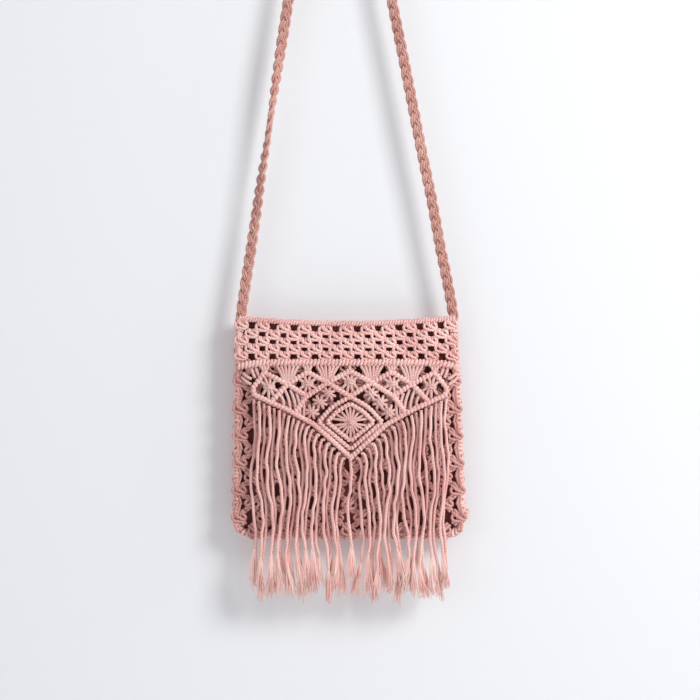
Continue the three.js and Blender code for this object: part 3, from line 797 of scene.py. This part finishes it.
def makeOrnament():
    ridges, cells = CordWork(), CordWork()
    wide = hitchLoop(hitch["halfHeight"], hitch["halfDepth"], hitch["radius"])
    narrow = hitchLoop(hitch["halfHeight"] - 0.4, hitch["halfDepth"], hitch["radius"] - 0.1)
    middle = ornament["middle"]

    def ridge(route, lift=0.0, loop=wide):
        hitchAlong(ridges, route, loop, middle + lift)
        core = ornament["wideCore" if loop is wide else "narrowCore"]
        ridges.cord([(x, z, middle + lift - 0.3) for x, z in route], core)

    for mirror in (-1, 1):
        p = {name: inFlat(place, mirror) for name, place in places.items()}
        edge = [inFlat(place, mirror) for place in border]
        ridge([p["corner"], p["outerTop"], p["outerValley"]])
        ridge([p["outerValley"], p["innerTop"], p["innerValley"]])
        ridge([p["outerValley"], p["outerFoot"]])
        ridge([p["outerValley"], p["innerFoot"]])
        ridge([p["middleTop"], p["innerValley"], p["innerFoot"], p["longFoot"]], 0.2)
        ridge([p["innerValley"], p["diamondTop"]])
        ridge(edge, 0.4)
        for top, side, foot, bow in (("diamondTop", "diamondSide", "diamondFoot", 2.0),
                                     ("innerDiamondTop", "innerDiamondSide", "innerDiamondFoot", 1.3)):
            bent = mix(p[top], p[side], 0.5) + (mirror * bow, bow)
            ridge(throughPoints([p[top], bent, p[side]], 3), 0.1, narrow)
            ridge([p[side], p[foot]], 0.1, narrow)
        for cell in (("corner", "outerTop", "outerValley", "outerFoot"),
                     ("outerValley", "innerTop", "innerValley", "innerFoot")):
            gatheredKnot(cells, [p[name] for name in cell], **smallKnot)
        down = unit(inFlat(bandFlowers[2], mirror) - inFlat(bandFlowers[0], mirror))
        for place in bandFlowers:
            bandFlower(cells, inFlat(place, mirror), down)
        for start, end in floats:
            a, b = inFlat(start, mirror), inFlat(end, mirror)
            bow = (a + b) / 2 + (mirror * -1.2, 0)
            route = [(*a, middle - 1), (*bow, middle - 0.2), (*b, middle - 1)]
            cells.cord(throughPoints(route, 2.2), ornament["cordRadius"])
        for name, count, spread in hangers:
            place = p[name]
            for k in range(count):
                aside = (k - (count - 1) / 2) * spread
                head = (place[0] + aside * 1.2, ridgeZ - 1.5, middle - 1.6)
                waist = (place[0] + aside * 0.62 + either(0.5), mix(ridgeZ, place[1], 0.6), middle)
                foot = (place[0] + aside * 0.5, place[1], middle - 1.2)
                cells.cord(throughPoints([head, waist, foot], 2.0), ornament["hangerRadius"])
        for start, end in sideCords:
            head, foot = (*inFlat(start, mirror), middle - 3.6), (*inFlat(end, mirror), middle - 1.4)
            waist = mix(np.array(head), np.array(foot), 0.5) + (0, -0.8, 0.9)
            cells.cord(throughPoints([head, waist, foot], 2.0), ornament["sideRadius"])
    # One more loop closes the border's tip, where the middle strand starts
    tip = inFlat((0, ornament["tipDrop"]))
    ridges.copy(wide, [[1, 0, 0], [0, 1, 0], [0, 0, 1]], (*tip, middle + 0.4))
    p = {name: inFlat(place) for name, place in places.items()}
    leftValley, leftSide = inFlat(places["innerValley"], -1), inFlat(places["innerDiamondSide"], -1)
    gatheredKnot(cells, [leftValley, p["middleTop"], p["innerValley"], p["diamondTop"]],
                 **{**smallKnot, "spread": 0.44, "middle": inFlat((0, ornament["middleKnotDrop"]))})
    gatheredKnot(cells, [leftSide, p["innerDiamondTop"], p["innerDiamondSide"], p["innerDiamondFoot"]],
                 **sunburst)
    addCords("ornament_ridges", ridges, -1, ridgeCotton, ["v_ornament"])
    addCords("ornament_flowers", cells, -1, gatheredCotton)


makeOrnament()
print("ornament made")

# The seams: one cord laced over both walls' edges, down the sides and along the base
seam = {
    "pitch": 4.4,
    "radius": 1.6,
    "halfWidth": 3.0,
    "halfDepth": 5.2,
    "slant": 0.45,
    "sizeVary": 0.14,
    "slantVary": 0.2,
    "depthVary": 0.3,
    "inset": 3.9,
    "innerRadius": 1.5,
    "innerApart": 1.6,
    "knotRadius": 1.6,
    "knotTurns": 3,
}


def seamLine():
    # From the left side's top down, along the base and up the right side, as (x, z)
    footZ = pouch["baseZ"] + 4.0
    levels = list(np.linspace(pouch["rimZ"] - 1.0, cornerZ, 24)) + [cornerZ - 8, footZ + 3.5]
    left = [(axisAt(z) - halfWidthAt(z) + seam["inset"], z) for z in levels]
    right = [(axisAt(z) + halfWidthAt(z) - seam["inset"], z) for z in reversed(levels)]
    reach = halfWidthAt(footZ) - 9.0
    foot = [(axisAt(footZ) + x, footZ) for x in np.linspace(-reach, reach, 12)]
    return throughPoints(left + foot + right, 3.0)


def makeSeams():
    line = seamLine()
    steps = distances(line)
    loop = hitchLoop(seam["halfWidth"], seam["halfDepth"], seam["radius"], 12)
    pieces = {"left_side_seam": CordWork(), "base_seam": CordWork(), "right_side_seam": CordWork()}

    def whose(x, z):
        if z < cornerZ:
            return "base_seam"
        return "left_side_seam" if x < axisAt(z) else "right_side_seam"

    for k in range(int(steps[-1] / seam["pitch"])):
        place = (k + 0.5) * seam["pitch"]
        x, z = pointAt(line, steps, place)
        wayX, wayZ = unit(pointAt(line, steps, place + 2) - pointAt(line, steps, place - 2))
        size = 1 + either(seam["sizeVary"])
        slant = seam["slant"] + either(seam["slantVary"])
        columns = [[wayX, 0, wayZ], [-wayZ * size, 0, wayX * size], [wayX * slant, 1, wayZ * slant]]
        # These columns mirror the loop, so its faces are turned over
        work = pieces[whose(x, z)]
        work.copy(flipped(loop), columns, (x, either(seam["depthVary"]), z), anyStart())
    for name, work in pieces.items():
        own = [(x, z) for x, z in line if whose(x, z) == name]
        for side in (-1, 1):
            work.cord([(x, side * seam["innerApart"], z) for x, z in own], seam["innerRadius"])
    # The end of the seam's cord, knotted at the lower right corner
    x, z = axisAt(cornerZ) + halfWidthAt(cornerZ), cornerZ + 6
    for k in range(seam["knotTurns"]):
        ring = [[math.cos(a) * 2.4, math.sin(a) * 2.2, 0.9 * math.sin(a + k)]
                for a in np.linspace(0, 2 * math.pi, 9)[:-1]]
        ring = np.array(ring) + [x + 0.5, -1, z - 3.0 * k]
        pieces["right_side_seam"].cord(ring, seam["knotRadius"], closed=True)
    for name, work in pieces.items():
        addCords(name + "_knots", work, 0, knotCotton, [name])


makeSeams()
print("seams made")

# The fringe: three-ply strands that leave the V border and fray at their ends
fringe = {
    "count": 39,
    "radius": 1.72,
    "layerGap": 3.9,
    "tipDrop": 276.0,
    "wave": 110.0,
    "sway": 2.6,
    "drift": 1.2,
    "pairing": 1.7,
    "curl": 6.0,
    "curlStart": 70.0,
    "halfWidth": 96.0375,
    "tipWave": 6.0,
    "tipRipple": 4.0,
    "frayed": 37.0,
    "yarnsPerEnd": 27,
    "yarnSpreads": (3.5, 6.0, 7.5),
    "yarnCurl": 1.3,
    "lay": 9.5,
    "kink": 0.9,
    "clump": 3.2,
    "solidRadius": 1.7,
    "ridgeWidth": 5.6,
    "clearance": 0.3,
    "backLayer": 8.7,
    "plyDepth": 0.3,
    "yarnRoot": 0.52,
    "yarnTip": 0.26,
}
# The border's bends from its outer end to its tip, where the strands start
borderLine = border[1:]


def headDropAt(across, curled):
    # How far below the cross ridge a strand starts, under the border's lower face
    radius = fringe["solidRadius"]
    x = min(max(abs(across) - radius * (1 - curled), 0), borderLine[0][0])
    k = next(i for i in range(1, len(borderLine)) if borderLine[i][0] <= x)
    (outerX, outerDrop), (innerX, innerDrop) = borderLine[k - 1], borderLine[k]
    slope = (innerDrop - outerDrop) / (outerX - innerX)
    faceDrop = outerDrop + slope * (outerX - x) + fringe["ridgeWidth"] / 2 * math.hypot(1, slope)
    return faceDrop + radius * curled + fringe["clearance"]


def strandRoute(index):
    across = fringe["halfWidth"] * (2 * index / (fringe["count"] - 1) - 1)
    nearTip = min(max((fringe["curlStart"] - abs(across)) / (fringe["curlStart"] / 2), 0), 1)
    side = (across > 0) - (across < 0)
    curled = abs(side) * nearTip
    curl = side * fringe["curl"] * curled
    headX, headZ = pouch["ornamentOffset"] + across, ridgeZ - headDropAt(across, curled)
    tipZ = pouch["rimZ"] - fringe["tipDrop"]
    tipZ += fringe["tipWave"] * math.sin(2.4 * index) + fringe["tipRipple"] * math.cos(index)
    layer = fringe["backLayer"] + (fringe["layerGap"] if index % 2 else 0)
    y = -(faceDepthAt(headX, ridgeZ - pouch["taperHeight"] / 2) + layer)
    layerSide = 1 if index % 2 else -1
    phase = 0.45 * index + 0.5 * math.sin(1.3 * index)
    x = axisAt(headZ) + headX
    points = [(x, y, headZ), (x + 0.5 * curl, y, headZ + mix(-3.4, 0.2, curled))]
    for k in range(1, 18):
        share = k / 17
        z = mix(headZ, tipZ, share)
        wave = math.sin(2 * math.pi * (headZ - z) / fringe["wave"] + phase) * min(1, 4 * share)
        drift = fringe["drift"] * math.sin(0.9 * index) * share + layerSide * fringe["pairing"] * share**1.5
        points.append((x + curl + fringe["sway"] * wave + drift, y, z))
    return points


def frayedEnd(work, start, way, length, index):
    # Loose yarns that spread from the end of a strand
    chooser = random.Random(500 + index)
    # Three neighbours' ends lean together
    lean = fringe["clump"] * chooser.uniform(0.5, 1.3) * (1 - index % 3)
    way = unit(way + np.array([lean / length, 0, 0]))
    for k in range(fringe["yarnsPerEnd"]):
        angle = chooser.uniform(0, 2 * math.pi)
        spread = chooser.uniform(0.1, 1.0) ** 0.7 * chooser.choice(fringe["yarnSpreads"])
        reach = length * chooser.uniform(0.7, 1.03)
        curl = chooser.uniform(-1, 1) * fringe["yarnCurl"]
        route = []
        for step in range(6):
            share = step / 5
            out = mix(0.9, spread, share**1.15)
            wave = curl * math.sin(share * 5 + angle) * min(1, 2 * share)
            route.append(start + way * reach * share + np.array([
                math.cos(angle) * out + wave, math.sin(angle) * out * 0.5, 0.0]))
        line = throughPoints(route, reach / 7)
        radius = np.linspace(fringe["yarnRoot"], fringe["yarnTip"], len(line))
        work.cord(line, radius, 4, start=chooser.uniform(0, 9))


def kinked(route, chooser):
    # The strand's route with small bends of its own, none at its head
    points = np.array(route, float)
    bends = np.array([chooser.uniform(-1, 1) for _ in points]) * fringe["kink"]
    bends[:3] = 0.0
    points[:, 0] += bends
    return points


def makeFringe():
    lengths = []
    for index in range(fringe["count"]):
        number = "%02d" % (index + 1)
        chooser = random.Random(index)
        line = throughPoints(kinked(strandRoute(index), chooser), 1.15)
        steps = distances(line)
        cut = steps[-1] - fringe["frayed"] * chooser.uniform(0.75, 1.15)
        twisted = line[steps <= cut]
        work = CordWork()
        slimming = np.clip((cut - steps[:len(twisted)]) / 6, 0, 1)
        radius = fringe["radius"] * chooser.uniform(0.97, 1.05) * mix(0.7, 1, slimming)
        work.cord(twisted, radius, 12, plies=3, plyDepth=fringe["plyDepth"], lay=fringe["lay"],
                  start=chooser.uniform(0, 9))
        strand = addCords("fringe_cord_" + number, work, 0, fringeCottonPaintedLight,
                          ["fringe_strand_" + number])
        tail = CordWork()
        root = twisted[-4]
        frayedEnd(tail, root, unit(line[-1] - root), steps[-1] - steps[len(twisted) - 4], index)
        end = addCords("fringe_end_" + number, tail, 0, frayCotton)
        lengths.append(steps[-1])
    return lengths


strandLengths = makeFringe()
print("fringe made, strands of", round(min(strandLengths)), "to", round(max(strandLengths)), "mm")

# The lining: one piece of cloth folded at the base and sewn up both sides, open at its mouth
sewing = {"columns": 28, "rows": 40, "thickness": 0.5, "bottom": 6.0, "mouthDrop": 1.5, "sideGap": 4.4,
          "faceGap": 1.1, "ripple": 0.4}


def makeLining():
    bm = bmesh.new()
    bmesh.ops.create_grid(bm, x_segments=sewing["columns"], y_segments=2 * sewing["rows"], size=1.0)
    bottomZ = pouch["baseZ"] + sewing["bottom"]
    for vert in bm.verts:
        # The grid's height folds in half: below the fold is the front, above it the back
        u, v = vert.co.x, vert.co.y
        side = -1 if v < 0 else 1
        topZ = rimTopAt(u) - sewing["mouthDrop"]
        z = mix(bottomZ, topZ, abs(v))
        x = u * (float(halfWidthAt(z)) - sewing["sideGap"])
        ripple = sewing["ripple"] * (math.sin(x * 0.11 + z * 0.05) + 0.6 * math.sin(x * 0.23 - z * 0.08))
        depth = float(faceDepthAt(x, z)) - sewing["faceGap"] + ripple * (1 - u**4)
        depth = max(0.6, depth) * min(1, abs(v) * 12)
        vert.co = (axisAt(z) + x, side * max(0.05, depth) if abs(v) > 0.001 else 0.0, z)
    bmesh.ops.scale(bm, vec=(mm, mm, mm), verts=bm.verts)
    bmesh.ops.recalc_face_normals(bm, faces=bm.faces)
    bmesh.ops.solidify(bm, geom=bm.faces[:], thickness=sewing["thickness"] * mm)
    bmesh.ops.recalc_face_normals(bm, faces=bm.faces)
    data = bpy.data.meshes.new("lining_cloth")
    bm.to_mesh(data)
    bm.free()
    data.polygons.foreach_set("use_smooth", np.ones(len(data.polygons), bool))
    piece = addPiece("lining_cloth", data, liningClothPaintedShade, ["lining_pouch"])


makeLining()
print("lining made")

# Studio: a pale wall that only shows from the front, a floor below and soft lamps
studio = {
    "wallY": 0.022,
    "floorZ": -1.25,
    "wall": (233, 234, 236),
    "world": 0.5,
    "backdrop": 0.85,
}
# Each lamp's place and size in metres and its power in watts
lamps = {
    "key": ((1.75, -1.65, 0.6), 0.9, 48.0),
    "fill": ((-1.4, -1.6, -0.3), 1.2, 4.0),
    "side": ((2.2, -0.45, -0.5), 0.8, 6.0),
    "back": ((-0.8, 1.6, 0.2), 1.2, 12.0),
}


def stagePlane(name, middle, turned, finish):
    # A square, 6 m on a side, lying level or turned upright to face the front
    bm = bmesh.new()
    bmesh.ops.create_grid(bm, x_segments=1, y_segments=1, size=3)
    bmesh.ops.rotate(bm, verts=bm.verts, matrix=Matrix.Rotation(turned, 3, "X"))
    bmesh.ops.translate(bm, verts=bm.verts, vec=middle)
    data = bpy.data.meshes.new(name)
    bm.to_mesh(data)
    bm.free()
    plane = newObject(name, data)
    data.materials.append(finish)


def makeStudio():
    wall = Finish("paleWall", 0.95)
    wall.feed("Base Color", linear(*studio["wall"]))
    wall.feed("Specular IOR Level", 0.1)
    # Only the camera sees the wall, and only from its front, so it throws no shade on the bag's back
    clear = wall.add("ShaderNodeBsdfTransparent")
    behind = wall.add("ShaderNodeNewGeometry", output=6)
    shown = wall.add("ShaderNodeLightPath") * (1 - behind)
    solid = Socket(wall, wall.shader.outputs[0])
    both = wall.add("ShaderNodeMixShader", None, {0: shown, 1: clear, 2: solid})
    wall.links.new(both.output, wall.nodes["Material Output"].inputs["Surface"])
    stagePlane("wall", (0, studio["wallY"], studio["floorZ"] + 3), math.pi / 2, wall.material)
    floor = Finish("paleFloor", 0.9)
    floor.feed("Base Color", linear(*studio["wall"]))
    stagePlane("floor", (0, 0, studio["floorZ"]), 0, floor.material)
    target = Vector((photo["middleX"] * mm, 0, -0.55))
    for name, (place, size, power) in lamps.items():
        data = bpy.data.lights.new(name, "AREA")
        data.size = size
        data.energy = power
        lamp = newObject(name, data)
        lamp.location = place
        lamp.rotation_euler = (target - Vector(place)).to_track_quat("-Z", "Y").to_euler()
    world = bpy.data.worlds.new("studio")
    world.use_nodes = True
    sky = Nodes(world.node_tree)
    background = sky.nodes["Background"].inputs
    sky.connect((0.96, 0.97, 1.0, 1.0), background[0])
    seen = sky.add("ShaderNodeLightPath") * (studio["backdrop"] - studio["world"])
    sky.connect(seen + studio["world"], background[1])
    bpy.context.scene.world = world
    bpy.context.scene.view_settings.view_transform = "Standard"


makeStudio()
print("studio made")
